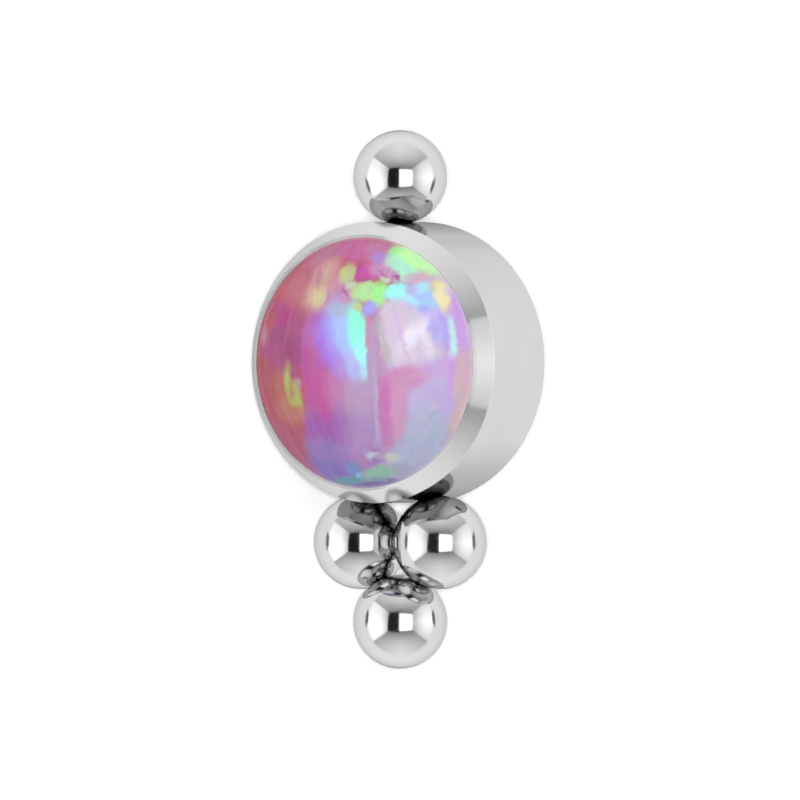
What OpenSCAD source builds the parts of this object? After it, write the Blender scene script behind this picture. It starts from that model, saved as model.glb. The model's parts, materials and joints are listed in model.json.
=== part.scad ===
// Threaded piercing top: a domed opal in a round bezel with four ball beads round its rim.
// It lies unworn on a flat surface, on the post's tip, the bezel's back edge and one bead.

/* [Bezel] */
// Outer diameter of the bezel
bezel_d = 4.5; // [4.3:0.1:5.5]
// Depth of the bezel from its lip to its back face
bezel_depth = 1.9; // [1.8:0.1:2.4]
// Length of the front chamfer along the bezel's axis
chamfer_depth = 0.27; // [0.1:0.01:0.4]
// Width of the flat lip around the stone
lip_w = 0.055; // [0.04:0.005:0.1]
// Broken edge round the back face
back_break = 0.04; // [0.01:0.01:0.08]

/* [Opal] */
// Diameter of the stone that shows inside the lip
stone_d = 4; // [3.6:0.1:4]
// Height of the dome above the lip
dome_h = 1; // [0.6:0.05:1.2]
// Depth of the stone below the lip
stone_depth = 0.75; // [0.4:0.05:0.8]
// How far the stone's girdle reaches under the lip
girdle_w = 0.03; // [0.02:0.005:0.05]
// Clearance between the stone and the metal
stone_gap = 0.012; // [0.005:0.001:0.02]

/* [Beads] */
// Diameter of each ball bead
bead_d = 1.5; // [1.2:0.05:1.7]
// How far solder sinks each bead into its neighbour
solder_sink = 0.03; // [0.02:0.005:0.06]
// Distance of the bead centres in front of the back face
bead_inset = 0.765; // [0.6:0.005:1]

/* [Post] */
// Thread diameter of the post
post_d = 1.2; // [0.9:0.1:1.6]
// Length of the post behind the back face
post_length = 2.2; // [1.8:0.1:3]
// Depth that the post is set into the back of the bezel
root_depth = 0.1; // [0.05:0.01:0.12]
// Chamfer on the post's tip
tip_chamfer = 0.1; // [0.05:0.01:0.15]
// Clearance between the post and its socket
post_gap = 0.01; // [0.005:0.001:0.02]

/* [Hidden] */
$fn = 96;

// Upright, the bezel's axis is Y, its back face is at Y = 0, its lip faces -Y and Z is up.
bezel_r = bezel_d / 2;
stone_r = stone_d / 2;
bead_r = bead_d / 2;
post_r = post_d / 2;
lip_r = stone_r + lip_w;
girdle_r = stone_r + girdle_w;
dome_r = (stone_r * stone_r + dome_h * dome_h) / (2 * dome_h);
dome_centre = -bezel_depth - dome_h + dome_r;
girdle_y = dome_centre - sqrt(dome_r * dome_r - girdle_r * girdle_r);
stone_base = -bezel_depth + stone_depth;

// The beads touch the rim, and the lower three touch each other.
rim_reach = bezel_r + bead_r - solder_sink;
bead_pitch = bead_d - solder_sink;
pair_x = bead_pitch / 2;
pair_z = -sqrt(rim_reach * rim_reach - pair_x * pair_x);
low_z = pair_z - sqrt(bead_pitch * bead_pitch - pair_x * pair_x);
bead_spots = [
    for (spot = [[0, rim_reach], [-pair_x, pair_z], [pair_x, pair_z], [0, low_z]])
        [spot[0], -bead_inset, spot[1]]
];

// At rest the floor touches the post's tip and the bezel's back edge, so the axis leans by this angle,
lean = atan2(bezel_r - post_r, post_length - tip_chamfer + back_break);
rest_height = bezel_r * cos(lean) - back_break * sin(lean);
// and the body rolls on those two until one bead of the pair touches as well.
bead_swing = acos((rest_height - bead_r + bead_inset * sin(lean)) / (rim_reach * cos(lean)));
roll = atan2(pair_x, -pair_z) + bead_swing;

// How far the body reaches along a direction, for centring it over the origin
rims = [[lip_r, -bezel_depth], [bezel_r, -bezel_depth + chamfer_depth], [bezel_r, -back_break],
        [post_r, post_length - tip_chamfer], [post_r - tip_chamfer, post_length]];
function rim_reaches(u) = [for (rim = rims) rim[0] * sqrt(1 - u[1] * u[1]) + rim[1] * u[1]];
function bead_reaches(u) = [for (spot = bead_spots) spot * u + bead_r];
function dome_reach(u) = -u[1] * dome_r > dome_r - dome_h ? dome_centre * u[1] + dome_r : 0;
function reach(u) = max(concat(rim_reaches(u), bead_reaches(u), [dome_reach(u)]));
across = [cos(roll), 0, -sin(roll)];
along = [sin(lean) * sin(roll), cos(lean), sin(lean) * cos(roll)];
centre_x = (reach(across) - reach(-across)) / 2;
centre_y = (reach(along) - reach(-along)) / 2;

// Lays the upright body on the floor at Z = 0
module at_rest() {
    translate([-centre_x, -centre_y, rest_height])
        rotate([-lean, 0, 0])
            rotate([0, -roll, 0])
                union()
                    children();
}

// Turns a profile of radius and depth about the bezel's axis
module turned() {
    rotate([-90, 0, 0])
        rotate_extrude()
            children();
}

// Solid cup, with the stone's seat in its front and the post's shallow socket in its back
module bezel_profile() {
    seat_r = girdle_r + stone_gap;
    socket_r = post_r + post_gap;
    socket_y = -root_depth - post_gap;
    polygon([
        [0, socket_y],
        [socket_r, socket_y],
        [socket_r, 0],
        [bezel_r - back_break, 0],
        [bezel_r, -back_break],
        [bezel_r, -bezel_depth + chamfer_depth],
        [lip_r, -bezel_depth],
        [stone_r + stone_gap, -bezel_depth],
        [seat_r, girdle_y],
        [seat_r, stone_base + stone_gap],
        [0, stone_base + stone_gap]
    ]);
}

module bead_setting() {
    color("silver")
        at_rest() {
            turned()
                bezel_profile();
            // The beads' poles face along the bezel's axis, clear of every soldered contact.
            for (spot = bead_spots)
                translate(spot)
                    rotate([90, 0, 0])
                        sphere(r = bead_r);
        }
}

module opal_cabochon() {
    color("orchid")
        at_rest()
            intersection() {
                translate([0, dome_centre, 0])
                    sphere(r = dome_r);
                translate([0, stone_base, 0])
                    rotate([90, 0, 0])
                        cylinder(r = girdle_r, h = stone_depth + dome_h);
            }
}

module threaded_post() {
    color("darkgray")
        at_rest()
            turned()
                polygon([
                    [0, -root_depth],
                    [post_r, -root_depth],
                    [post_r, post_length - tip_chamfer],
                    [post_r - tip_chamfer, post_length],
                    [0, post_length]
                ]);
}

bead_setting();
opal_cabochon();
threaded_post();
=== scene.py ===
# Threaded piercing top: polished bezel with four soldered beads, pink opal cabochon, threaded post.
import json
import math
import bpy
import numpy as np
from mathutils import Matrix, Vector


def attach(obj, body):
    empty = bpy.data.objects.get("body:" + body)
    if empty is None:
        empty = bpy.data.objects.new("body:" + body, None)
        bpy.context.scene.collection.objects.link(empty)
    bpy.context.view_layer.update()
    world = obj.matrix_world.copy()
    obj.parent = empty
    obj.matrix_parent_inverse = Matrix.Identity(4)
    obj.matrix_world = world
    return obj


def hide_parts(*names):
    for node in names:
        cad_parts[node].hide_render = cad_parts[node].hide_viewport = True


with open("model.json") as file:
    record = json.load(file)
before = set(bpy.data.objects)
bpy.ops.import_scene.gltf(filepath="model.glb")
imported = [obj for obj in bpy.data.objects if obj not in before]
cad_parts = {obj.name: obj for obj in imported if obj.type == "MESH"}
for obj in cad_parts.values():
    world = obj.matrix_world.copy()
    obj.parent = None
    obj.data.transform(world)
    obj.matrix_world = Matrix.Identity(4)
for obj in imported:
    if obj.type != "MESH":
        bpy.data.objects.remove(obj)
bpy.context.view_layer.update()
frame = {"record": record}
scene = bpy.context.scene

# Upright, the bezel's axis is Y, its back face is at Y = 0, its lip faces -Y and Z is up, in millimetres.
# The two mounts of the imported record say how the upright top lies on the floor.
mounts = {mount["name"]: mount for mount in frame["record"]["mounts"]}
backwards = Vector(mounts["thread_post"]["axis"]).normalized()
postSpot = Vector(mounts["thread_post"]["pos_m"])
faceSpot = Vector(mounts["back_face"]["pos_m"])
backCentre = postSpot + backwards * (faceSpot - postSpot).dot(backwards)
upwards = (faceSpot - backCentre).normalized()
across = backwards.cross(upwards)
turn = Matrix((across, backwards, upwards)).transposed()
layDown = Matrix.Translation(backCentre) @ (turn * 0.001).to_4x4()
print("frame is loaded")


# Wiring for shader and geometry trees

def operator(operation, reflected=False):
    def work(self, *others):
        values = (*others, self) if reflected else (self, *others)
        return self.bench.node("ShaderNodeMath", {"operation": operation}, values)[0]
    return work


class Wire:
    # An output socket: arithmetic on it adds Math nodes
    def __init__(self, bench, socket):
        self.bench = bench
        self.socket = socket

    __add__, __radd__ = operator("ADD"), operator("ADD", reflected=True)
    __sub__, __rsub__ = operator("SUBTRACT"), operator("SUBTRACT", reflected=True)
    __mul__, __rmul__ = operator("MULTIPLY"), operator("MULTIPLY", reflected=True)
    __truediv__, __rtruediv__ = operator("DIVIDE"), operator("DIVIDE", reflected=True)
    __pow__, __mod__ = operator("POWER"), operator("FLOORED_MODULO")
    __lt__, __gt__ = operator("LESS_THAN"), operator("GREATER_THAN")
    __abs__, floor = operator("ABSOLUTE"), operator("FLOOR")
    sin, cos = operator("SINE"), operator("COSINE")
    least, most = operator("MINIMUM"), operator("MAXIMUM")

    def ramp(self, low, high, bottom=0.0, top=1.0, style="SMOOTHSTEP"):
        sockets = {"Value": self, "From Min": low, "From Max": high, "To Min": bottom, "To Max": top}
        return self.bench.node("ShaderNodeMapRange", {"interpolation_type": style}, sockets)["Result"]


class Made:
    # A finished node: its outputs come by name or number
    def __init__(self, bench, node):
        self.bench = bench
        self.node = node

    def __getitem__(self, key):
        return Wire(self.bench, self.node.outputs[key])


class Bench:
    def __init__(self, tree):
        self.tree = tree

    def node(self, kind, settings=None, sockets=None):
        node = self.tree.nodes.new(kind)
        for name, value in (settings or {}).items():
            if name == "stops":
                self.setStops(node.color_ramp, value)
            else:
                setattr(node, name, value)
        pairs = sockets.items() if isinstance(sockets, dict) else enumerate(sockets or ())
        for key, value in pairs:
            if isinstance(value, Wire):
                self.tree.links.new(value.socket, node.inputs[key])
            else:
                node.inputs[key].default_value = value
        return Made(self, node)

    def setStops(self, ramp, stops):
        while len(ramp.elements) < len(stops):
            ramp.elements.new(0.5)
        while len(ramp.elements) > len(stops):
            ramp.elements.remove(ramp.elements[-1])
        for element, (place, colour) in zip(ramp.elements, stops):
            element.position = place
            element.color = colour

    def mix(self, factor, first, second):
        settings = {"data_type": "RGBA"}
        return self.node("ShaderNodeMix", settings, {0: factor, 6: first, 7: second})[2]

    def vector(self, operation, *values, output=0):
        return self.node("ShaderNodeVectorMath", {"operation": operation}, values)[output]


def fresh(name):
    tree = bpy.data.node_groups.new(name, "GeometryNodeTree")
    tree.interface.new_socket("Geometry", in_out="OUTPUT", socket_type="NodeSocketGeometry")
    return tree, Bench(tree)


def addInput(tree, name, kind, default=None):
    socket = tree.interface.new_socket(name, in_out="INPUT", socket_type=kind)
    if default is not None:
        socket.default_value = default


def linear(red, green, blue):
    # sRGB from 0 to 255 to a linear colour
    shades = [channel / 255 for channel in (red, green, blue)]
    return tuple(s / 12.92 if s <= 0.04045 else ((s + 0.055) / 1.055) ** 2.4 for s in shades) + (1.0,)


# Outlines that are turned about the bezel's axis, as segments of radius and depth with their true normals

def roundedOutline(corners, arcSteps=6):
    # Each corner is (radius, depth, rounding)
    segments = []
    spots = [Vector(corner[:2]) for corner in corners]
    start = spots[0]
    for i, spot in enumerate(spots[1:], 1):
        way = (spot - spots[i - 1]).normalized()
        normal = Vector((-way.y, way.x))
        rounding = corners[i][2] if i < len(spots) - 1 else 0
        if rounding:
            onward = (spots[i + 1] - spot).normalized()
            bend = math.acos(max(-1.0, min(1.0, way.dot(onward))))
            cut = rounding * math.tan(bend / 2)
            nextNormal = Vector((-onward.y, onward.x))
            outward = 1 if way.x * onward.y - way.y * onward.x < 0 else -1
            arcStart = spot - way * cut
            centre = arcStart - normal * rounding * outward
            segments.append((start, arcStart, normal, normal))
            for step in range(arcSteps):
                ends = [step / arcSteps, (step + 1) / arcSteps]
                faces = [normal.slerp(nextNormal, share) for share in ends]
                places = [centre + face * rounding * outward for face in faces]
                segments.append((places[0], places[1], faces[0], faces[1]))
            start = spot + onward * cut
        else:
            segments.append((start, spot, normal, normal))
            start = spot
    return segments


def outlineMesh(name, segments):
    mesh = bpy.data.meshes.new(name)
    spots = [segments[0][0]] + [segment[1] for segment in segments]
    mesh.from_pydata([(spot.x, spot.y, 0.0) for spot in spots], [], [])
    return mesh


normalRules = {
    "axisOfFaces": 1e-6,  # millimetres from the axis, inside which no direction points outwards
    "axisOfCorners": 1e-4,
    "facingWeight": 0.02,  # millimetres of distance that a face pointing away from a segment counts as
    "beadSkin": 0.004,  # a bead's faces lie this near its sphere
    "beadFacing": 0.98,  # and point this much straight out of it
    "leastLength": 1e-9,
}


def readAll(items, name, width=1, kind=float):
    values = np.zeros(len(items) * width, kind)
    items.foreach_get(name, values)
    return values.reshape(-1, width) if width > 1 else values


def trueNormals(mesh, segments, beads=(), beadRadius=0.0):
    # Mirror finishes need exact normals: a corner takes the normal of the outline or bead that it lies on
    rules = normalRules
    co = readAll(mesh.vertices, "co", 3)
    centres = readAll(mesh.polygons, "center", 3)
    faceNormals = readAll(mesh.polygons, "normal", 3)
    sizes = readAll(mesh.polygons, "loop_total", kind=int)
    corners = readAll(mesh.loops, "vertex_index", kind=int)
    owner = np.repeat(np.arange(len(mesh.polygons)), sizes)

    # The segment that each face lies on
    begin, end, firstNormal, lastNormal = [np.array([tuple(s[i]) for s in segments]) for i in range(4)]
    along = end - begin
    length = (along ** 2).sum(1)
    flat = np.stack([np.hypot(centres[:, 0], centres[:, 2]), centres[:, 1]], 1)
    share = ((flat[:, None] - begin) * along).sum(2) / length
    nearest = begin + np.clip(share, 0, 1)[:, :, None] * along
    gap = np.linalg.norm(flat[:, None] - nearest, axis=2)
    lathe = np.hypot(centres[:, 0], centres[:, 2])[:, None]
    axis = rules["axisOfFaces"]
    outward = np.where(lathe > axis, centres[:, [0, 2]] / np.maximum(lathe, axis), 0)
    facing = (outward * faceNormals[:, [0, 2]]).sum(1)
    middle = (firstNormal + lastNormal) / 2
    middle /= np.linalg.norm(middle, axis=1)[:, None]
    agree = facing[:, None] * middle[:, 0] + faceNormals[:, 1][:, None] * middle[:, 1]
    chosen = np.argmin(gap + (1 - agree) * rules["facingWeight"], axis=1)[owner]

    # The normal of each corner along that segment
    spots = co[corners]
    reach = np.hypot(spots[:, 0], spots[:, 2])
    there = np.stack([reach, spots[:, 1]], 1)
    t = np.clip(((there - begin[chosen]) * along[chosen]).sum(1) / length[chosen], 0, 1)[:, None]
    bent = firstNormal[chosen] * (1 - t) + lastNormal[chosen] * t
    bent /= np.linalg.norm(bent, axis=1)[:, None]
    axis = rules["axisOfCorners"]
    around = np.where(reach[:, None] > axis, spots[:, [0, 2]] / np.maximum(reach, axis)[:, None], 0)
    normals = np.stack([around[:, 0] * bent[:, 0], bent[:, 1], around[:, 1] * bent[:, 0]], 1)
    for bead in beads:
        away = centres - np.array(bead)
        distance = np.linalg.norm(away, axis=1)
        alike = (away / distance[:, None] * faceNormals).sum(1)
        mine = ((abs(distance - beadRadius) < rules["beadSkin"]) & (alike > rules["beadFacing"]))[owner]
        normals[mine] = spots[mine] - np.array(bead)
    normals /= np.maximum(np.linalg.norm(normals, axis=1), rules["leastLength"])[:, None]
    mesh.normals_split_custom_set(normals.tolist())


# Geometry Nodes: a turned body, soldered beads and a helical thread

treeTolerances = {
    "weld": 0.0002,  # millimetres within which points merge
    "rowNudge": 0.0001,  # keeps a row's number from being rounded down
}


def gridRows(bench, rowCount, steps):
    # A grid whose rows follow an outline and whose columns go round the axis
    grid = bench.node("GeometryNodeMeshGrid", {}, {"Vertices X": rowCount, "Vertices Y": steps + 1})["Mesh"]
    index = bench.node("GeometryNodeInputIndex")[0]
    row = (index / (steps + 1) + treeTolerances["rowNudge"]).floor()
    column = index - row * (steps + 1)
    return grid, row, column / steps


def outlineSpot(bench, outline, row):
    # The outline's point for each row: X is its radius and Y its depth
    position = bench.node("GeometryNodeInputPosition")[0]
    sampled = bench.node("GeometryNodeSampleIndex", {"data_type": "FLOAT_VECTOR"},
                         {"Geometry": outline, "Value": position, "Index": row})["Value"]
    return bench.node("ShaderNodeSeparateXYZ", {}, [sampled])


def placeRows(bench, grid, radius, depth, share):
    angle = share * (2 * math.pi)
    x, z = radius * angle.cos(), radius * angle.sin() * -1
    spot = bench.node("ShaderNodeCombineXYZ", {}, [x, depth, z])[0]
    return bench.node("GeometryNodeSetPosition", {}, {"Geometry": grid, "Position": spot})[0]


def closeUp(bench, geometry, material):
    near = {"Geometry": geometry, "Distance": treeTolerances["weld"]}
    merged = bench.node("GeometryNodeMergeByDistance", {}, near)[0]
    smooth = bench.node("GeometryNodeSetShadeSmooth", {}, {"Geometry": merged})[0]
    realized = bench.node("GeometryNodeRealizeInstances", {}, {"Geometry": smooth})[0]
    return bench.node("GeometryNodeSetMaterial", {}, {"Geometry": realized, "Material": material})[0]


def turnedTree():
    tree, bench = fresh("turnedBody")
    addInput(tree, "Outline", "NodeSocketGeometry")
    addInput(tree, "Steps Around", "NodeSocketInt", 192)
    addInput(tree, "Material", "NodeSocketMaterial")
    given = bench.node("NodeGroupInput")
    sizes = bench.node("GeometryNodeAttributeDomainSize", {}, {"Geometry": given["Outline"]})
    grid, row, share = gridRows(bench, sizes["Point Count"], given["Steps Around"])
    parts = outlineSpot(bench, given["Outline"], row)
    turned = placeRows(bench, grid, parts["X"], parts["Y"], share)
    bench.node("NodeGroupOutput", {}, [closeUp(bench, turned, given["Material"])])
    return tree


def solderedTree():
    tree, bench = fresh("solderedBeads")
    addInput(tree, "Bead Centres", "NodeSocketGeometry")
    addInput(tree, "Bezel", "NodeSocketObject")
    addInput(tree, "Bead Radius", "NodeSocketFloat", 0.75)
    addInput(tree, "Segments", "NodeSocketInt", 96)
    addInput(tree, "Rings", "NodeSocketInt", 48)
    addInput(tree, "Material", "NodeSocketMaterial")
    given = bench.node("NodeGroupInput")
    ballSizes = {"Segments": given["Segments"], "Rings": given["Rings"], "Radius": given["Bead Radius"]}
    ball = bench.node("GeometryNodeMeshUVSphere", {}, ballSizes)["Mesh"]
    bead = bench.node("GeometryNodeTransform", {}, {"Geometry": ball, "Rotation": (math.pi / 2, 0, 0)})[0]
    beads = bench.node("GeometryNodeInstanceOnPoints", {},
                       {"Points": given["Bead Centres"], "Instance": bead})[0]
    loose = bench.node("GeometryNodeRealizeInstances", {}, {"Geometry": beads})[0]
    bezel = bench.node("GeometryNodeObjectInfo", {}, {"Object": given["Bezel"]})["Geometry"]
    both = bench.node("GeometryNodeJoinGeometry")
    for part in (loose, bezel):
        tree.links.new(part.socket, both.node.inputs[0])
    fused = bench.node("GeometryNodeMeshBoolean", {"operation": "UNION", "solver": "EXACT"},
                       {"Mesh 2": both[0], "Self Intersection": True})["Mesh"]
    bench.node("NodeGroupOutput", {}, [closeUp(bench, fused, given["Material"])])
    return tree


def threadTree():
    tree, bench = fresh("helicalThread")
    addInput(tree, "Root Outline", "NodeSocketGeometry")
    for name, default in (("Crest Radius", 0.6), ("Groove Radius", 0.45), ("Pitch", 0.25),
                          ("Groove Share", 0.25), ("Flank Share", 0.875), ("Thread Start", 0.12),
                          ("Length", 2.2), ("Tip Chamfer", 0.1)):
        addInput(tree, name, "NodeSocketFloat", default)
    for name, default in (("Rows", 130), ("Rows Per Turn", 12), ("Steps Around", 72)):
        addInput(tree, name, "NodeSocketInt", default)
    addInput(tree, "Material", "NodeSocketMaterial")
    given = bench.node("NodeGroupInput")
    pitch, start, length = given["Pitch"], given["Thread Start"], given["Length"]
    crest, groove = given["Crest Radius"], given["Groove Radius"]
    grid, row, share = gridRows(bench, given["Rows"], given["Steps Around"])
    sizes = bench.node("GeometryNodeAttributeDomainSize", {}, {"Geometry": given["Root Outline"]})
    rootRows = sizes["Point Count"]
    # Rows climb with the helix and stop at the thread's two ends
    climb = start + pitch * ((row - rootRows) / given["Rows Per Turn"] + share - 1)
    depth = climb.most(start).least(length)
    wave = abs((((depth - start) / pitch - share) % 1.0) * 2 - 1)
    flank = wave.ramp(given["Groove Share"], given["Flank Share"], style="LINEAR")
    threaded = groove + (crest - groove) * flank
    chamfered = threaded.least(crest - given["Tip Chamfer"] + length - depth)
    parts = outlineSpot(bench, given["Root Outline"], row)
    inRoot = row < rootRows - 0.5
    isTip = row > given["Rows"] - 1.5
    radius = inRoot * parts["X"] + (1 - inRoot) * (1 - isTip) * chamfered
    height = inRoot * parts["Y"] + (1 - inRoot) * (depth * (1 - isTip) + length * isTip)
    turned = placeRows(bench, grid, radius, height, share)
    bench.node("NodeGroupOutput", {}, [closeUp(bench, turned, given["Material"])])
    return tree


def grow(name, mesh, tree, **values):
    # Evaluates a tree on a mesh and returns the result as a plain mesh, still upright and in millimetres
    carrier = bpy.data.objects.new(name + "Carrier", mesh)
    scene.collection.objects.link(carrier)
    modifier = carrier.modifiers.new("grow", "NODES")
    modifier.node_group = tree
    for item in tree.interface.items_tree:
        if item.in_out == "INPUT" and item.name in values:
            modifier[item.identifier] = values[item.name]
    depsgraph = bpy.context.evaluated_depsgraph_get()
    grown = bpy.data.meshes.new_from_object(carrier.evaluated_get(depsgraph))
    grown.name = name
    material = [slot for slot in grown.materials if slot][0]
    grown.materials.clear()
    grown.materials.append(material)
    grown.polygons.foreach_set("material_index", [0] * len(grown.polygons))
    carrier.modifiers.remove(modifier)
    bpy.data.objects.remove(carrier)
    return grown


def place(name, mesh, node, slot):
    # Lays an upright mesh down, and puts it in place of its CAD node
    mesh.transform(layDown)
    mesh.update()
    piece = bpy.data.objects.new(name, mesh)
    scene.collection.objects.link(piece)
    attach(piece, "root")
    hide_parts(node)
    print(name, len(mesh.polygons), "faces")
    return piece


# Materials

def newMaterial(name):
    material = bpy.data.materials.new(name)
    material.use_nodes = True
    material.node_tree.nodes.clear()
    return material, Bench(material.node_tree)


def uprightSpot(bench):
    # Object coordinates turned back to the upright top, in millimetres
    back = layDown.inverted()
    raw = bench.node("ShaderNodeTexCoord")["Object"]
    sockets = {"Vector": raw, "Location": back.translation, "Rotation": back.to_euler(),
               "Scale": (1000, 1000, 1000)}
    return bench.node("ShaderNodeMapping", {"vector_type": "POINT"}, sockets)[0]


def finishMaterial(bench, sockets):
    shader = bench.node("ShaderNodeBsdfPrincipled", {}, sockets)["BSDF"]
    bench.node("ShaderNodeOutputMaterial", {}, {"Surface": shader})


def noise(bench, vector, scale, detail=3.0, output="Fac"):
    sockets = {"Vector": vector, "Scale": scale, "Detail": detail}
    return bench.node("ShaderNodeTexNoise", {}, sockets)[output]


metalFinish = {
    "bright": (0.565, 0.565, 0.565, 1.0),
    "dull": (0.555, 0.555, 0.555, 1.0),
    "edgeTint": (0.62, 0.62, 0.62, 1.0),
    "roughness": (0.09, 0.13),
    "hazeScale": 1.6,
    "hazeShare": 0.6,
    "rubScale": 14.0,
    "rubShare": 0.4,
    "spread": (0.35, 0.65),  # values of the noise that stand for the two ends above
}


def polishedMetal(name, extraRoughness=0.0, shade=None):
    material, bench = newMaterial(name)
    spot = uprightSpot(bench)
    m = metalFinish
    haze = noise(bench, spot, m["hazeScale"], 4.0)
    rub = noise(bench, spot, m["rubScale"])
    colour = bench.mix(haze.ramp(*m["spread"]), m["bright"], m["dull"])
    # Painted shade, where given, darkens the colour towards black
    if shade is not None:
        colour = bench.mix(shade(bench, spot), (0, 0, 0, 1), colour)
    low, high = m["roughness"]
    wear = haze * m["hazeShare"] + rub * m["rubShare"]
    finishMaterial(bench, {
        "Base Color": colour,
        "Metallic": 1.0,
        "Roughness": wear.ramp(*m["spread"], low + extraRoughness, high + extraRoughness),
        "Specular Tint": m["edgeTint"],
    })
    return material


# Bezel and beads

settingSizes = {
    "bezelRadius": 2.25,
    "bezelDepth": 1.9,
    "chamferDepth": 0.27,
    "lipRadius": 2.055,
    "lipInner": 1.994,
    "seatRadius": 2.036,
    "girdleDepth": -1.8591,
    "seatFloor": -1.138,
    "socketRadius": 0.61,
    "socketDepth": -0.11,
    "backBreak": 0.04,
    "edgeRounding": 0.03,
    "lipRounding": 0.02,
    "lipInnerRounding": 0.005,
    "lipRise": 0.01,  # how far the lip's inner edge stands up where it laps over the stone
    "lipTilt": 52.0,  # degrees that the lip's polish leans out from the bezel's axis
    "beadRadius": 0.75,
    "solderSink": 0.03,
    "beadInset": 0.765,
    "stepsAround": 240,
    "beadSegments": 112,
    "beadRings": 56,
}


def bezelOutline(s):
    front = -s["bezelDepth"]
    segments = roundedOutline([
        (0, s["socketDepth"], 0),
        (s["socketRadius"], s["socketDepth"], 0),
        (s["socketRadius"], 0, 0),
        (s["bezelRadius"] - s["backBreak"], 0, s["edgeRounding"]),
        (s["bezelRadius"], -s["backBreak"], s["edgeRounding"]),
        (s["bezelRadius"], front + s["chamferDepth"], s["edgeRounding"]),
        (s["lipRadius"], front, s["lipRounding"]),
        (s["lipInner"], front - s["lipRise"], s["lipInnerRounding"]),
        (s["seatRadius"], s["girdleDepth"], 0),
        (s["seatRadius"], s["seatFloor"], 0),
        (0, s["seatFloor"], 0),
    ])
    # The narrow lip is polished over into the chamfer, so it mirrors much as the chamfer does
    tilt = math.radians(s["lipTilt"])
    lean = Vector((math.sin(tilt), -math.cos(tilt)))
    for i, (begin, end, normal, _) in enumerate(segments):
        if begin.y < front + s["lipRounding"] and normal.x > 0:
            segments[i] = (begin, end, lean, lean)
    return segments


def beadCentres(s):
    reach = s["bezelRadius"] + s["beadRadius"] - s["solderSink"]
    pitch = 2 * s["beadRadius"] - s["solderSink"]
    pairX = pitch / 2
    pairZ = -math.sqrt(reach ** 2 - pairX ** 2)
    lowZ = pairZ - math.sqrt(pitch ** 2 - pairX ** 2)
    return [(x, -s["beadInset"], z) for x, z in ((0, reach), (-pairX, pairZ), (pairX, pairZ), (0, lowZ))]


# Painted shade: the bezel's wall is darkened towards the beads, where the beads shade its reflection:
# heights that the darker zones spread from, the distances in which they fade out, and the share of the
# metal's own colour that they keep
wallPaintedShade = {
    "lowSpot": -2.88,
    "lowReach": (1.0, 2.45),
    "lowShade": 0.52,
    "highSpot": 2.97,
    "highReach": (1.5, 1.9),
    "highShade": 0.88,
    "inside": (-0.05, -0.03),  # how the zones begin and end about the wall's radius
    "outside": (0.01, 0.03),
    "front": (-0.01, 0.03),  # and about the chamfer's back edge
}


# Painted shade on the bezel's wall near the lower beads and under the top bead
def paintedWallShade(bench, spot):
    p = wallPaintedShade
    parts = bench.node("ShaderNodeSeparateXYZ", {}, [spot])
    x, y, z = parts[0], parts[1], parts[2]

    def distance(height):
        return (x * x + (z - height) * (z - height)) ** 0.5

    low = distance(p["lowSpot"]).ramp(*p["lowReach"], p["lowShade"], 1.0, "LINEAR")
    high = distance(p["highSpot"]).ramp(*p["highReach"], p["highShade"], 1.0)
    fromWall = distance(0.0) - settingSizes["bezelRadius"]
    fromChamfer = y + (settingSizes["bezelDepth"] - settingSizes["chamferDepth"])
    onWall = fromWall.ramp(*p["inside"]) * fromWall.ramp(*p["outside"], 1.0, 0.0)
    behind = fromChamfer.ramp(*p["front"])
    return 1 - onWall * behind * (1 - low * high)


def makeSetting():
    s = settingSizes
    steel = polishedMetal("polishedMetal", shade=paintedWallShade)
    outline = bezelOutline(s)
    bezelMesh = grow("bezel", outlineMesh("bezelOutline", outline), turnedTree(),
                     **{"Steps Around": s["stepsAround"], "Material": steel})
    bezel = bpy.data.objects.new("bezelForUnion", bezelMesh)
    scene.collection.objects.link(bezel)
    centres = beadCentres(s)
    spots = bpy.data.meshes.new("beadCentres")
    spots.from_pydata(centres, [], [])
    fused = grow("beadSetting", spots, solderedTree(), **{
        "Bezel": bezel, "Bead Radius": s["beadRadius"], "Segments": s["beadSegments"],
        "Rings": s["beadRings"], "Material": steel})
    bpy.data.objects.remove(bezel)
    trueNormals(fused, outline, centres, s["beadRadius"])
    return place("beadSetting", fused, "bead_setting", "polished_metal")


# Opal

opalSizes = {
    "visibleRadius": 2.0,
    "girdleRadius": 2.03,
    "domeHeight": 1.0,
    "lipDepth": -1.9,
    "base": -1.15,
    "baseBevel": 0.08,
    "domeSteps": 48,
    "stepsAround": 192,
}


def opalOutline(s):
    domeRadius = (s["visibleRadius"] ** 2 + s["domeHeight"] ** 2) / (2 * s["domeHeight"])
    centre = Vector((0, s["lipDepth"] - s["domeHeight"] + domeRadius))
    reach = math.asin(s["girdleRadius"] / domeRadius)
    girdle = centre + Vector((math.sin(reach), -math.cos(reach))) * domeRadius
    segments = roundedOutline([
        (0, s["base"], 0),
        (s["girdleRadius"] - s["baseBevel"], s["base"], 0),
        (s["girdleRadius"], s["base"] - s["baseBevel"], 0),
        (girdle.x, girdle.y, 0),
    ])
    for step in range(s["domeSteps"]):
        angles = [reach * (1 - share / s["domeSteps"]) for share in (step, step + 1)]
        faces = [Vector((math.sin(angle), -math.cos(angle))) for angle in angles]
        places = [centre + face * domeRadius for face in faces]
        segments.append((places[0], places[1], faces[0], faces[1]))
    return segments


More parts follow.
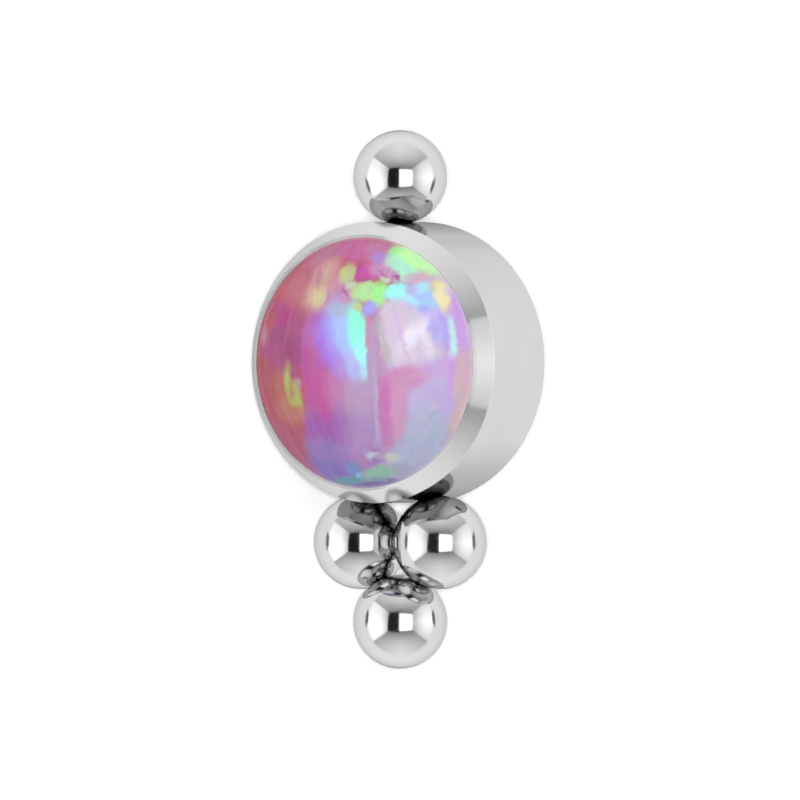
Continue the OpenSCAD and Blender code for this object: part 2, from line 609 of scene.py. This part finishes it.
# Colours of the stone as they look in the studio
opalColours = {
    "rose": (190, 102, 120), "crimson": (180, 88, 108), "deepCrimson": (172, 84, 96),
    "brick": (172, 96, 108), "roseMauve": (172, 94, 120), "red": (200, 98, 108),
    "plum": (168, 90, 130), "darkPlum": (156, 78, 124), "magentaRose": (180, 80, 136),
    "mauve": (190, 132, 152), "dustyRose": (196, 122, 134), "dustyPink": (192, 126, 152),
    "salmon": (212, 158, 160), "pink": (202, 114, 162), "hotPink": (200, 88, 170),
    "orchid": (194, 118, 184), "orchidRose": (192, 128, 180), "softPink": (203, 150, 190),
    "paleRose": (208, 178, 200), "mauvePink": (200, 140, 180), "tan": (208, 180, 156),
    "beige": (214, 204, 162), "lime": (184, 228, 158), "yellowLime": (200, 208, 144),
    "green": (162, 240, 146), "leaf": (172, 188, 104), "mint": (198, 255, 178),
    "seafoam": (178, 242, 212), "aqua": (148, 254, 222), "cyan": (162, 250, 240),
    "skyAqua": (174, 234, 250), "ice": (196, 230, 236), "cyanGrey": (172, 188, 214),
    "sky": (172, 200, 250), "periwinkle": (172, 166, 244), "violetBlue": (168, 124, 228),
    "violet": (182, 112, 182), "magenta": (187, 94, 156), "lavender": (178, 148, 218),
    "skyLavender": (180, 188, 238), "purple": (160, 98, 170), "greyPurple": (148, 122, 182),
    "deepViolet": (134, 118, 184), "lilac": (173, 142, 190), "greyLilac": (182, 154, 188),
    # pearlWhite is a painted highlight and pearl is partly one: the window's reflection on the dome
    "paleLilac": (192, 176, 210), "warmGrey": (186, 180, 184), "pearl": (211, 197, 217),
    "pearlWhite": (246, 242, 255), "coolLilac": (192, 178, 220), "coolGrey": (176, 182, 208),
    "dimLilac": (174, 168, 200), "rimLilac": (204, 162, 226), "shell": (210, 178, 190),
    "sand": (204, 180, 182), "yellow": (240, 232, 182), "olive": (180, 118, 94),
    "brown": (188, 126, 114), "teal": (112, 158, 168), "steel": (128, 146, 194),
    "sage": (148, 188, 168), "paleSage": (200, 212, 186), "night": (126, 114, 168),
    # The rim colour is a painted reflection at the stone's edge
    "rim": (234, 214, 228),
}

# Patches of the stone seen face on, painted in this order, in millimetres from its centre: colour, x, z,
# half width, half height, anticlockwise turn in degrees, softness, and strength where it is less than 1
opalFields = [
    ("crimson", -1.5, -0.5, 0.75, 0.8, 0, 0.7),
    ("brick", -1.1, -1.1, 0.5, 0.42, -20, 0.9, 0.9),
    ("roseMauve", -1.2, -1.35, 0.45, 0.25, -42, 0.9, 0.9),
    ("plum", -1.0, 0.25, 0.62, 0.6, 0, 0.7),
    ("magentaRose", -1.25, 0.78, 0.36, 0.24, 10, 0.8),
    ("darkPlum", -0.9, 0.22, 0.26, 0.2, 0, 0.9, 0.6),
    ("darkPlum", -1.3, 0.42, 0.16, 0.14, 30, 0.9, 0.6),
    ("crimson", -1.54, 0.7, 0.14, 0.3, -15, 0.8),
    ("magentaRose", -1.55, 0.2, 0.2, 0.14, 0, 0.9, 0.8),
    ("mauve", -1.7, 0.42, 0.12, 0.14, 0, 0.9, 0.9),
    ("deepCrimson", -1.75, -0.05, 0.25, 0.16, 0, 0.8, 0.9),
    ("rose", -1.15, 1.4, 0.5, 0.2, 42, 0.8, 0.9),
    ("red", -1.3, 1.14, 0.3, 0.1, 8, 1.0, 0.9),
    ("dustyRose", -0.88, 1.18, 0.36, 0.26, 0, 0.9, 0.9),
    ("dustyPink", -0.55, 1.75, 0.44, 0.14, 22, 0.8),
    ("dustyPink", -0.62, 1.42, 0.1, 0.2, 10, 0.9, 0.8),
    ("salmon", -0.42, 1.5, 0.26, 0.16, 0, 0.8),
    ("mauvePink", -0.13, 1.14, 0.26, 0.28, 0, 0.7),
    ("pink", -0.05, 1.8, 0.42, 0.18, -8, 0.7),
    ("hotPink", 0.34, 1.46, 0.26, 0.16, 0, 0.6, 0.95),
    ("softPink", 0.6, 1.52, 0.28, 0.16, -24, 0.7),
    ("mauvePink", 0.4, 1.82, 0.3, 0.1, -12, 0.8, 0.7),
    ("purple", -0.32, -1.05, 0.42, 0.85, -15, 0.25),
    ("greyPurple", -0.32, -1.5, 0.5, 0.3, -12, 0.5),
    ("deepViolet", -0.5, -1.73, 0.45, 0.16, -18, 0.8),
    ("magenta", -0.22, -0.25, 0.4, 0.66, 0, 0.4),
    ("lilac", 0.4, -1.05, 0.45, 0.75, -6, 0.8),
    ("purple", 0.02, -0.95, 0.2, 0.3, -10, 1.0, 0.5),
    ("dimLilac", 0.75, -1.72, 0.8, 0.24, 27, 0.7),
    ("greyPurple", -0.35, -1.94, 0.8, 0.1, -10, 0.9),
    ("mauvePink", 0.08, -0.4, 0.28, 0.34, 10, 1.0, 0.5),
    ("greyLilac", 0.42, -0.5, 0.22, 0.36, 5, 0.9),
    ("violet", -0.36, 0.42, 0.27, 0.5, 6, 0.5),
    ("magenta", -0.5, 0.02, 0.16, 0.26, 0, 0.9, 0.9),
    ("violetBlue", -0.1, 0.25, 0.18, 0.48, 30, 0.8),
    ("periwinkle", 0.02, 0.5, 0.2, 0.5, 26, 0.9),
    ("lavender", 0.16, -0.04, 0.18, 0.2, 30, 1.0, 0.9),
    ("sky", 0.2, 0.48, 0.2, 0.5, 22, 0.8),
    ("skyLavender", 0.38, -0.1, 0.14, 0.22, 20, 0.9, 0.9),
    ("cyanGrey", 0.02, 0.87, 0.22, 0.12, 0, 0.8, 0.9),
    ("aqua", 0.37, 0.55, 0.15, 0.42, 14, 0.7),
    ("cyan", 0.5, 0.18, 0.1, 0.24, 14, 0.7),
    ("skyAqua", 0.53, -0.08, 0.08, 0.2, 0, 0.8, 0.8),
    ("coolLilac", 1.45, 0.2, 0.6, 1.4, 0, 0.3),
    ("coolGrey", 1.15, -1.2, 0.55, 0.42, 35, 0.6),
    # These two pearl patches are partly a painted highlight, the pale window reflection on the dome beneath
    # the window lamp's real glint
    ("pearl", 0.98, 0.72, 0.28, 0.36, 20, 0.4),
    ("pearl", 1.2, 0.43, 0.5, 0.56, 10, 0.35),
    ("paleRose", 1.05, 1.34, 0.36, 0.1, -8, 0.5),
    ("softPink", 1.12, -0.26, 0.36, 0.2, 24, 0.6),
    ("mauvePink", 1.0, -0.3, 0.2, 0.14, 30, 1.0, 0.7),
    ("rimLilac", 1.6, -0.05, 0.2, 0.14, 0, 1.0, 0.5),
]

# The same in columns that follow the dome's curve from pole to pole, sharp at their sides
opalColumns = [
    ("greyLilac", 0.68, 0.1, 0.09, 0.7, 0, 0.3),
    ("greyLilac", 0.82, -0.05, 0.07, 0.2, 0, 0.5, 0.9),
    ("warmGrey", 0.84, 0.34, 0.06, 0.36, 13, 0.8, 0.9),
    ("mauvePink", 0.575, 0.5, 0.04, 0.26, 4, 0.7),
    ("softPink", 1.0, -0.76, 0.2, 0.48, -2, 0.35),
    ("orchid", 0.87, -0.68, 0.08, 0.42, 0, 0.8, 0.9),
    ("orchidRose", 0.88, -1.12, 0.12, 0.28, 0, 0.8, 0.9),
    ("paleLilac", 0.712, -0.66, 0.035, 0.56, 0, 0.8, 0.6),
    ("rimLilac", 1.85, 0.5, 0.14, 0.75, 0, 0.5),
    ("rimLilac", 1.78, -0.2, 0.04, 0.4, 0, 0.8, 0.7),
    ("shell", 1.93, -0.4, 0.1, 0.6, 0, 0.5),
    ("sand", 1.88, -0.7, 0.05, 0.5, 0, 0.8, 0.8),
    ("ice", 1.78, 0.42, 0.04, 0.3, 0, 0.7),
    ("periwinkle", 1.68, 0.62, 0.06, 0.34, 0, 0.9, 0.8),
]

opalFlecks = [
    ("brown", -0.98, -0.75, 0.34, 0.2, 0, 0.9, 0.9),
    ("olive", -1.2, -0.38, 0.2, 0.26, 0, 1.0, 0.9),
    ("olive", -0.82, -0.7, 0.2, 0.1, 0, 0.9, 0.6),
    ("leaf", -0.96, -0.3, 0.08, 0.25, -3, 1.0, 0.9),
    ("warmGrey", -0.72, -0.32, 0.08, 0.08, 0, 1.0, 0.5),
    ("leaf", -0.77, -0.5, 0.08, 0.2, 14, 1.0, 0.8),
    ("leaf", -0.86, -0.62, 0.12, 0.09, 0, 1.0, 0.7),
    ("steel", 0.0, -1.72, 0.15, 0.12, 0, 0.9),
    ("teal", -0.18, -1.88, 0.36, 0.07, 4, 0.8),
    ("sage", 0.4, -1.76, 0.28, 0.1, 14, 0.7),
    ("night", 0.3, -1.94, 0.42, 0.06, 6, 0.8),
    ("paleSage", 0.72, -1.53, 0.12, 0.07, 12, 1.0, 0.65),
    ("ice", 0.42, -1.48, 0.1, 0.05, 10, 1.0, 0.5),
    ("purple", 0.5, -1.39, 0.08, 0.03, 20, 1.0, 0.4),
    ("greyPurple", 0.4, -1.6, 0.16, 0.025, 12, 1.0, 0.7),
    ("teal", 0.3, -1.86, 0.2, 0.025, 8, 1.0, 0.6),
    ("skyAqua", 0.05, -1.8, 0.07, 0.04, 20, 1.0, 0.35),
    ("lavender", 0.42, 1.68, 0.14, 0.07, -20, 0.9, 0.9),
    ("tan", -0.46, 1.08, 0.26, 0.24, 0, 1.0, 0.8),
    ("beige", -0.45, 1.06, 0.15, 0.15, 0, 1.0),
    ("tan", -0.38, 1.34, 0.07, 0.22, 10, 1.0, 0.8),
    ("dustyPink", -0.54, 1.36, 0.04, 0.22, 18, 1.0, 0.6),
    ("salmon", -0.6, 1.2, 0.04, 0.18, 12, 1.0, 0.6),
    ("salmon", -0.22, 1.32, 0.05, 0.16, 20, 1.0, 0.6),
    ("orchid", -0.24, 1.05, 0.05, 0.12, 10, 1.0, 0.6),
    ("yellowLime", -0.02, 1.42, 0.13, 0.15, 0, 0.7, 0.9),
    ("paleSage", 0.12, 1.26, 0.12, 0.07, -30, 0.8, 0.9),
    ("yellowLime", 0.11, 1.42, 0.05, 0.11, 0, 0.8, 0.85),
    ("softPink", 0.12, 1.06, 0.13, 0.1, 40, 0.8, 0.9),
    ("darkPlum", 0.08, 1.12, 0.1, 0.025, -42, 0.9, 0.6),
    ("lime", 0.42, 1.14, 0.24, 0.16, 0, 0.6),
    ("green", 0.65, 1.1, 0.12, 0.19, 8, 0.7),
    ("plum", 0.3, 1.32, 0.2, 0.022, 2, 0.9, 0.7),
    ("paleSage", 0.67, 1.33, 0.08, 0.035, -10, 0.9),
    ("seafoam", 0.84, 1.6, 0.3, 0.17, -34, 0.6),
    ("mint", 1.02, 1.65, 0.46, 0.12, -27, 0.6),
    ("green", 0.66, 1.78, 0.12, 0.05, -10, 1.0, 0.7),
    ("seafoam", 0.97, 1.43, 0.09, 0.08, 0, 0.8),
    ("softPink", 0.68, 1.44, 0.13, 0.06, -32, 0.8, 0.8),
    ("orchidRose", 0.81, 1.38, 0.06, 0.07, 10, 0.8),
    ("darkPlum", 0.86, 1.35, 0.03, 0.08, 12, 0.9, 0.7),
    ("plum", 0.6, 1.42, 0.12, 0.02, -30, 0.9, 0.5),
    ("paleRose", 1.15, 1.37, 0.2, 0.06, -10, 0.9),
    ("sky", 1.34, 1.04, 0.2, 0.22, 25, 0.8),
    ("skyAqua", 1.24, 1.2, 0.1, 0.1, 0, 0.9, 0.9),
    ("cyan", 0.9, 1.14, 0.17, 0.14, 0, 0.6),
    ("skyAqua", 1.15, 1.0, 0.24, 0.06, -18, 0.9, 0.9),
    ("skyLavender", 1.12, 1.16, 0.09, 0.07, -20, 0.9),
    ("periwinkle", 1.44, 0.72, 0.08, 0.32, 34, 0.9, 0.65),
    # Painted highlight: the window reflection's bright core and the streaks across it
    ("pearlWhite", 1.26, 0.46, 0.3, 0.12, 58, 1.0, 0.6),
    ("coolLilac", 1.02, 0.62, 0.03, 0.26, 24, 1.0, 0.4),
    ("greyLilac", 1.14, 0.24, 0.03, 0.26, 22, 1.0, 0.35),
    ("coolLilac", 1.36, 0.2, 0.03, 0.2, 10, 1.0, 0.4),
    ("pearlWhite", 1.46, 0.3, 0.05, 0.22, 16, 1.0, 0.35),
    ("periwinkle", 1.52, 0.5, 0.05, 0.24, 14, 0.9, 0.7),
    ("beige", 1.4, 1.24, 0.07, 0.1, 25, 0.9, 0.9),
    ("yellow", 1.53, 1.06, 0.08, 0.26, 22, 0.8),
    ("periwinkle", 0.54, 0.87, 0.12, 0.12, 0, 0.8),
    ("yellowLime", 0.34, 0.88, 0.07, 0.05, -40, 0.9, 0.9),
]

opalFinish = {
    "light": 1.27,
    "veil": 0.012,
    "warps": ((2.5, 0.15), (9.0, 0.06)),  # scale of the noise and how far it shifts the patches
    "fleckWarps": ((5.0, 0.135), (12.0, 0.066)),
    "softSpread": 0.7,  # how far full softness spreads a patch's edge, in shares of its half size
    "columnEnds": (0.6, 1.4),
    "dome": 2.3,  # curve of the columns, in millimetres
    "streaks": 0.07,
    "streakScale": (6.0, 0.9, 1.0),
    "streakSpread": (0.3, 0.7),
    "tiles": 0.05,
    "tileScale": 7.0,
    "tileRandomness": 0.9,
    # Strength and radii of the painted reflection at the stone's edge
    "rim": 0.4,
    "rimReach": (1.95, 2.01),
    "bodyRoughness": 0.6,
    "gloss": 0.12,
    "roughness": 0.08,
}

# The shader needs more memory than Cycles has for one unless the patches wait for each other in batches
patchBatch = {"size": 18, "link": (1e-6, 1e-6, 1e-6)}


def stoneShade(name):
    # Body colour that looks like the named one under the studio's light
    veil, light = opalFinish["veil"], opalFinish["light"]
    shades = linear(*opalColours[name])[:3]
    return tuple(max(0.0, (shade - veil) / light) for shade in shades) + (1.0,)


def patchMask(bench, face, row, isColumn):
    _, x, z, halfWidth, halfHeight, turned, softness, *rest = row
    strength = rest[0] if rest else 1.0
    sockets = {"Vector": face, "Location": (x, z, 0), "Rotation": (0, 0, math.radians(turned)),
               "Scale": (halfWidth, halfHeight, 1)}
    local = bench.node("ShaderNodeMapping", {"vector_type": "TEXTURE"}, sockets)[0]
    if not isColumn:
        spread = softness * opalFinish["softSpread"]
        return bench.vector("LENGTH", local, output="Value").ramp(1 - spread, 1 + spread, strength, 0.0)
    parts = bench.node("ShaderNodeSeparateXYZ", {}, [local])
    sides = abs(parts["X"]).ramp(1 - softness, 1 + softness, strength, 0.0)
    return sides * abs(parts["Y"]).ramp(*opalFinish["columnEnds"], 1.0, 0.0)


def drifted(bench, spot, face, warps):
    # Shifts the flat coordinates by noise, which gives the patches their uneven edges
    for scale, amount in warps:
        drift = bench.vector("SUBTRACT", noise(bench, spot, scale, output="Color"), (0.5, 0.5, 0.5))
        drift = bench.vector("MULTIPLY", drift, (amount, amount, 0.0))
        face = bench.vector("ADD", face, drift)
    return face


def opalMaterial():
    material, bench = newMaterial("pinkOpal")
    f = opalFinish
    spot = uprightSpot(bench)
    parts = bench.node("ShaderNodeSeparateXYZ", {}, [spot])
    flat = bench.node("ShaderNodeCombineXYZ", {}, [parts["X"], parts["Z"], 0.0])[0]
    face, rough = [drifted(bench, spot, flat, f[warps]) for warps in ("warps", "fleckWarps")]
    parts = bench.node("ShaderNodeSeparateXYZ", {}, [face])
    aside = parts["X"] * (1 - parts["Y"] * parts["Y"] / f["dome"] ** 2) ** -0.5
    columns = bench.node("ShaderNodeCombineXYZ", {}, [aside, parts["Y"], 0.0])[0]
    colour = stoneShade("rose")
    count = 0
    layers = ((opalFields, face, False), (opalColumns, columns, True), (opalFlecks, rough, False))
    for rows, at, isColumn in layers:
        for row in rows:
            count += 1
            if count % patchBatch["size"] == 0:
                at = bench.vector("MULTIPLY_ADD", colour, patchBatch["link"], at)
            colour = bench.mix(patchMask(bench, at, row, isColumn), colour, stoneShade(row[0]))
    stretched = bench.node("ShaderNodeMapping", {}, {"Vector": columns, "Scale": f["streakScale"]})[0]
    streaks = noise(bench, stretched, 1.0).ramp(*f["streakSpread"])
    colour = bench.mix(streaks * f["streaks"], colour, stoneShade("pearl"))
    # Painted reflection: a pale line round the stone's edge stands in for the white studio mirrored at
    # grazing angles
    rim = bench.vector("LENGTH", flat, output="Value").ramp(*f["rimReach"])
    colour = bench.mix(rim * f["rim"], colour, stoneShade("rim"))
    cells = {"Vector": columns, "Scale": f["tileScale"], "Randomness": f["tileRandomness"]}
    tiles = bench.node("ShaderNodeTexVoronoi", {}, cells)["Color"]
    shine = bench.vector("MULTIPLY_ADD", tiles, (f["tiles"] * 2,) * 3, (1 - f["tiles"],) * 3)
    colour = bench.vector("MULTIPLY", colour, shine)
    finishMaterial(bench, {
        "Base Color": colour,
        "Roughness": f["bodyRoughness"],
        "Specular IOR Level": 0.0,
        "Coat Weight": f["gloss"],
        "Coat Roughness": f["roughness"],
    })
    return material


def makeOpal():
    outline = opalOutline(opalSizes)
    stone = grow("opalCabochon", outlineMesh("opalOutline", outline), bpy.data.node_groups["turnedBody"],
                 **{"Steps Around": opalSizes["stepsAround"], "Material": opalMaterial()})
    trueNormals(stone, outline)
    return place("opalCabochon", stone, "opal_cabochon", "pink_opal")


# Threaded post

postSizes = {
    "crestRadius": 0.6,
    "grooveRadius": 0.45,
    "pitch": 0.25,
    "length": 2.2,
    "tipChamfer": 0.1,
    "rootDepth": 0.1,
    "collar": 0.04,
    "shoulder": 0.05,
    "neck": 0.12,
    "grooveShare": 0.25,  # where the flank begins and ends between the groove's middle and the crest's
    "flankShare": 0.875,
    "rowsPerTurn": 16,
    "stepsAround": 96,
    "sharpAngle": 24.0,  # degrees between faces, past which an edge stays sharp
    "extraRoughness": 0.08,
}


def makePost():
    s = postSizes
    crest, groove, start = s["crestRadius"], s["grooveRadius"], s["neck"]
    rootCorners = [(0, -s["rootDepth"]), (crest, -s["rootDepth"]), (crest, s["collar"]),
                   (groove, s["collar"] + s["shoulder"]), (groove, start)]
    root = bpy.data.meshes.new("postRoot")
    root.from_pydata([(radius, depth, 0) for radius, depth in rootCorners], [], [])
    turns = (s["length"] - start) / s["pitch"]
    rows = len(rootCorners) + math.ceil((turns + 1) * s["rowsPerTurn"]) + 2
    post = grow("threadedPost", root, threadTree(), **{
        "Crest Radius": crest, "Groove Radius": groove, "Pitch": s["pitch"],
        "Groove Share": s["grooveShare"], "Flank Share": s["flankShare"],
        "Thread Start": start, "Length": s["length"], "Tip Chamfer": s["tipChamfer"], "Rows": rows,
        "Rows Per Turn": s["rowsPerTurn"], "Steps Around": s["stepsAround"],
        "Material": polishedMetal("postMetal", s["extraRoughness"])})
    post.set_sharp_from_angle(angle=math.radians(s["sharpAngle"]))
    return place("threadedPost", post, "threaded_post", "post_metal")


setting = makeSetting()
opal = makeOpal()
post = makePost()


# Camera: square on to the frame of the picture, above the floor, rolled so that the top stands upright

cameraSizes = {
    "turn": 30.2,  # degrees to the right of the bezel's axis
    "rise": 0.2,
    "target": (-0.006, -0.765, -0.601),  # millimetres, upright
    "frameWidth": 12.816,  # millimetres across the picture
    "lens": 1500.0,
    "sensor": 36.0,
}


def makeCamera(s):
    side, lift = math.radians(s["turn"]), math.radians(s["rise"])
    towards = Vector((math.sin(side) * math.cos(lift), -math.cos(side) * math.cos(lift), math.sin(lift)))
    right = Vector((0, 0, 1)).cross(towards).normalized()
    axes = Matrix((right, towards.cross(right), towards)).transposed()
    distance = s["lens"] * s["frameWidth"] / s["sensor"] * 0.001
    data = bpy.data.cameras.new("camera")
    data.lens = s["lens"]
    data.sensor_width = s["sensor"]
    data.clip_start = 0.01
    data.clip_end = 5.0
    camera = bpy.data.objects.new("camera", data)
    scene.collection.objects.link(camera)
    aim = layDown @ Vector(s["target"])
    camera.matrix_world = Matrix.Translation(aim + turn @ towards * distance) @ (turn @ axes).to_4x4()
    scene.camera = camera
    return aim, turn @ axes


aim, viewAxes = makeCamera(cameraSizes)
print("camera is", round(math.degrees(math.asin(viewAxes[2][2])), 1), "degrees above the floor")


# Floor, soft studio light and the reflected room

studio = {
    "level": 1.3,
    "sky": 1.03,
    "sideDrop": 0.08,
    "behind": 0.72,
    "floorShade": 0.96,
    "floorReach": 0.6,
    "roomDepth": 0.25,
    "lap": 0.06,
    "left": -0.565,
    "right": 0.585,
    "height": 0.43,
    "split": -0.04,
    "darkFoot": 0.85,
    "brightTop": 0.35,
    "darkLight": 0.006,
    "brightLight": 1.8,
    "valanceLight": 0.3,
}

# Brightness of the reflected room's surfaces, along their middle and at their edges: shares of its depth
# from the open end, and the brightness at each. "middleAt" shifts the brightest line.
surfaces = {
    "ceiling": {
        "middle": ((0, 0.1, 0.2, 0.35, 0.5, 0.65, 0.8, 1),
                   (1.0, 0.975, 0.93, 0.8, 0.62, 0.48, 0.32, 0.2)),
        "edges": ((-0.06, 0.02, 0.2, 0.35, 0.5, 0.65, 0.8, 1),
                  (1.0, 0.55, 0.52, 0.48, 0.44, 0.4, 0.36, 0.2)),
    },
    "lowerPlate": {
        "middle": ((0, 0.1, 0.2, 0.35, 0.5, 0.65, 0.8, 1),
                   (1.0, 0.97, 0.9, 0.73, 0.54, 0.39, 0.28, 0.18)),
        "edges": ((-0.06, 0.02, 0.2, 0.35, 0.5, 0.65, 0.8, 1),
                  (1.0, 0.48, 0.47, 0.46, 0.42, 0.36, 0.26, 0.14)),
    },
    "leftWall": {
        "middle": ((0, 0.06, 0.4, 0.5, 0.6, 0.7, 0.84, 1),
                   (1.2, 1.6, 1.6, 1.48, 1.3, 1.1, 0.94, 0.84)),
        "edges": ((0, 0.06, 0.35, 0.5, 0.6, 0.7, 0.84, 1),
                  (1.0, 1.25, 1.2, 1.1, 1.0, 0.86, 0.72, 0.58)),
        "middleAt": -0.3,
    },
    "rightWall": {
        "middle": ((0, 0.06, 0.35, 0.5, 0.65, 0.8, 0.9, 1),
                   (1.2, 1.45, 1.38, 1.14, 0.91, 0.72, 0.68, 0.78)),
        "edges": ((0, 0.2, 0.35, 0.5, 0.65, 0.8, 1),
                  (0.9, 0.92, 0.88, 0.8, 0.68, 0.55, 0.55)),
    },
}

# Slim dark fins just outside the picture, in millimetres; "taper" is the share of their height that slopes
finSizes = {
    "aside": 18.0,
    "low": -7.0,
    "high": 3.8,
    "back": -1.6,
    "front": 1.6,
    "taper": 0.3,
    "shade": 0.15,
}

# The darker patch of sky behind the top, by the camera's right and up
skyPatch = {"right": -0.03, "width": 0.26, "height": 0.5, "edge": (0.3, 1.1)}

# name: watts, width, height, right, up and towards the camera in metres, turn in degrees, what it lights
lamps = {
    "key": (8.0, 0.09, 0.09, 0.0, 0.0, 1.0, 0, "diffuse"),
    "fill": (4.5, 1.0, 1.0, 0.25, 0.35, 0.6, 0, "diffuse"),
    "side": (2.8, 0.8, 0.8, -0.75, 0.0, 0.1, 0, "stone"),
    "window": (0.11, 0.085, 0.16, -0.002, 0.08, 0.15, 17, "glossy"),
}


def stageMesh(name, corners, material):
    mesh = bpy.data.meshes.new(name)
    mesh.from_pydata([tuple(corner) for corner in corners], [], [tuple(range(len(corners)))])
    mesh.materials.append(material)
    thing = bpy.data.objects.new(name, mesh)
    scene.collection.objects.link(thing)
    return thing


def makeFloor():
    material, bench = newMaterial("paleFloor")
    shade = studio["floorShade"]
    finishMaterial(bench, {
        "Base Color": (shade, shade, shade, 1),
        "Roughness": 0.9,
        "Specular IOR Level": 0.0,
    })
    reach = studio["floorReach"]
    corners = [(-reach, -reach, 0), (reach, -reach, 0), (reach, reach, 0), (-reach, reach, 0)]
    floor = stageMesh("floor", corners, material)
    floor.visible_glossy = False  # the metal mirrors the room instead


def glow(name, middle, edges=None, crosswise=None, centre=0.0, reach=1.0):
    # Emission by share of the room's depth, fading from a middle line to the edges
    material, bench = newMaterial(name + "Glow")
    lap, level = studio["lap"], studio["level"]
    raw = bench.node("ShaderNodeTexCoord")["Object"]
    away = bench.vector("SUBTRACT", raw, tuple(aim))
    depth = bench.vector("DOT_PRODUCT", away, tuple(viewAxes.col[2] / studio["roomDepth"]), output="Value")
    share = (depth + lap) / (1 + lap)

    def shade(stops):
        shades = [((place + lap) / (1 + lap), (value, value, value, 1)) for place, value in zip(*stops)]
        return bench.node("ShaderNodeValToRGB", {"stops": shades}, [share])["Color"]

    colour = shade(middle)
    if edges:
        aside = bench.vector("DOT_PRODUCT", away, tuple(crosswise / studio["roomDepth"]), output="Value")
        colour = bench.mix(abs(aside - centre) / reach, colour, shade(edges))
    light = bench.node("ShaderNodeEmission", {}, {"Color": colour, "Strength": level})[0]
    bench.node("ShaderNodeOutputMaterial", {}, {"Surface": light})
    return material


metalOnly = bpy.data.collections.new("metalOnly")
for piece in (setting, post):
    metalOnly.objects.link(piece)
stoneOnly = bpy.data.collections.new("stoneOnly")
stoneOnly.objects.link(opal)


def card(name, corners, material):
    # Corners are in shares of the room's depth: right, up and towards the camera
    depth = studio["roomDepth"]
    thing = stageMesh(name, [aim + viewAxes @ Vector(corner) * depth for corner in corners], material)
    thing.visible_camera = False
    thing.visible_diffuse = False
    thing.visible_shadow = False
    thing.visible_transmission = False
    thing.light_linking.receiver_collection = metalOnly


def makeRoom():
    left, right, top, near = studio["left"], studio["right"], studio["height"], -studio["lap"]
    low, split = -top, studio["split"]
    middle, halfWidth = (left + right) / 2, (right - left) / 2

    def surface(name, corners, crosswise, centre, reach):
        s = surfaces[name]
        brightest = centre + s.get("middleAt", 0.0) * reach
        card(name, corners, glow(name, s["middle"], s["edges"], crosswise, brightest, reach))

    def evenCard(name, corners, light):
        card(name, corners, glow(name, ((0,), (light,))))

    for name, up in (("ceiling", top), ("lowerPlate", low)):
        corners = [(left, up, near), (right, up, near), (right, up, 1), (left, up, 1)]
        surface(name, corners, viewAxes.col[0], middle, halfWidth)
    for name, aside in (("leftWall", left), ("rightWall", right)):
        corners = [(aside, low, 0), (aside, top, 0), (aside, top, 1), (aside, low, 1)]
        surface(name, corners, viewAxes.col[1], 0.0, top)
    foot, edge = studio["darkFoot"], studio["brightTop"]
    evenCard("darkPanel", [(left, low, foot), (split, low, foot), (split, top, 1), (left, top, 1)],
             studio["darkLight"])
    evenCard("brightPanel", [(split, low, 1), (right, low, 1), (right, edge, 1), (split, edge, 1)],
             studio["brightLight"])
    evenCard("valance", [(split, edge, 1), (right, edge, 1), (right, top, 1), (split, top, 1)],
             studio["valanceLight"])
    f = finSizes
    tip = (f["high"] - f["low"]) * f["taper"]
    outline = [(f["low"], f["back"]), (f["low"] + tip, f["front"]),
               (f["high"] - tip, f["front"]), (f["high"], f["back"])]
    for name, aside in (("leftFin", -f["aside"]), ("rightFin", f["aside"])):
        corners = [Vector((aside, up, towards)) * 0.001 / studio["roomDepth"] for up, towards in outline]
        evenCard(name, corners, f["shade"])


def makeSky():
    # Even white light all round, darker right behind the top as the camera sees it
    world = bpy.data.worlds.new("studio")
    scene.world = world
    world.use_nodes = True
    world.node_tree.nodes.clear()
    bench = Bench(world.node_tree)
    way = bench.node("ShaderNodeTexCoord")["Generated"]
    right, up, towards = [bench.vector("DOT_PRODUCT", way, tuple(axis), output="Value")
                          for axis in viewAxes.col]
    p = skyPatch
    offset = (((right - p["right"]) / p["width"]) ** 2 + (up / p["height"]) ** 2) ** 0.5
    patch = offset.ramp(*p["edge"], studio["behind"], 0.0, "LINEAR") * (towards < 0)
    light = (1 - right * right * studio["sideDrop"]) * (1 - patch) * (studio["level"] * studio["sky"])
    background = bench.node("ShaderNodeBackground", {}, {"Color": (1, 1, 1, 1), "Strength": light})[0]
    bench.node("ShaderNodeOutputWorld", {}, {"Surface": background})
    world.cycles_visibility.diffuse = False


def makeLamps():
    # Diffuse lamps light the floor and the stone's body; the window is only a glint on the stone
    for name, (watts, width, height, right, up, towards, turned, kind) in lamps.items():
        data = bpy.data.lights.new(name, "AREA")
        data.shape = "RECTANGLE"
        data.size = width
        data.size_y = height
        data.energy = watts
        lamp = bpy.data.objects.new(name, data)
        scene.collection.objects.link(lamp)
        offset = Vector((right, up, towards))
        facing = offset.to_track_quat("Z", "Y").to_matrix() @ Matrix.Rotation(math.radians(turned), 3, "Z")
        lamp.matrix_world = Matrix.Translation(aim + viewAxes @ offset) @ (viewAxes @ facing).to_4x4()
        lamp.visible_camera = False
        lamp.visible_glossy = kind == "glossy"
        lamp.visible_diffuse = kind != "glossy"
        if kind != "diffuse":
            lamp.light_linking.receiver_collection = stoneOnly
            lamp.light_linking.blocker_collection = metalOnly


makeFloor()
makeRoom()
makeSky()
makeLamps()
scene.view_settings.view_transform = "Standard"
print("studio is lit")
